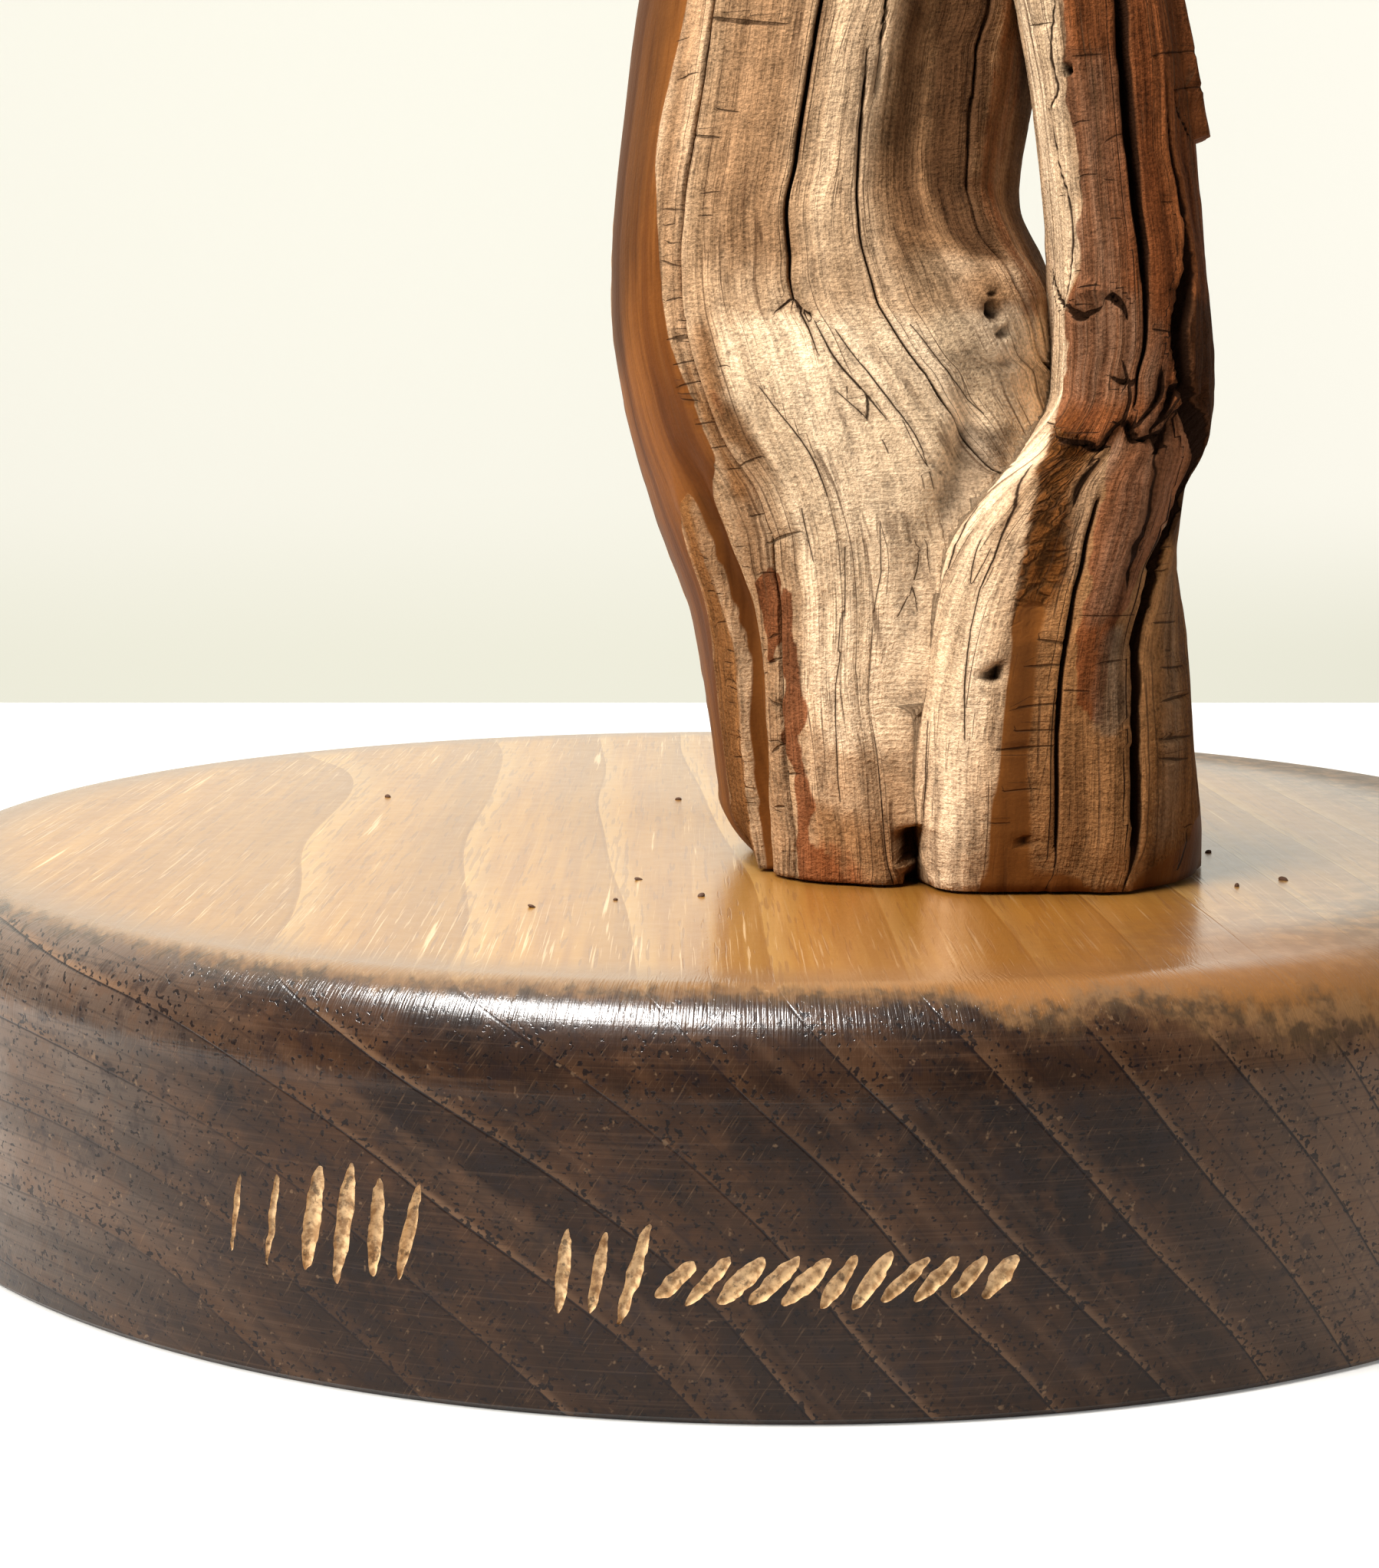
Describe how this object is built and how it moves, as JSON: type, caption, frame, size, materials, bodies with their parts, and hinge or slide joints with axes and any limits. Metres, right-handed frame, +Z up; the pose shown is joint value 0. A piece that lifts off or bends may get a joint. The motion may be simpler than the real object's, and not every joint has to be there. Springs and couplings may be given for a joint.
{
  "type": "driftwood sculpture on a round wooden base",
  "caption": "Upright weathered driftwood trunk with a side limb that leans over a narrow slot and grows into it again, on a thick round-edged turned wooden base.",
  "frame": {"origin": "centre of the round base's underside, on the surface that it stands on", "axes": "+Z up; -Y is the front, which carries the row of shallow strokes; +X is to the right when seen from the front"},
  "size_m": [0.18, 0.18, 0.1917],
  "materials": {
    "stained_base": "walnut-brown stain on turned ring-porous hardwood, thin satin coat, amber top face",
    "weathered_driftwood": "weathered grey-tan grain with oiled orange-brown and reddish patches, matt, split and checked"
  },
  "bodies": {
    "root": {"round_base": "stained_base", "driftwood": "weathered_driftwood"}
  },
  "joints": []
}
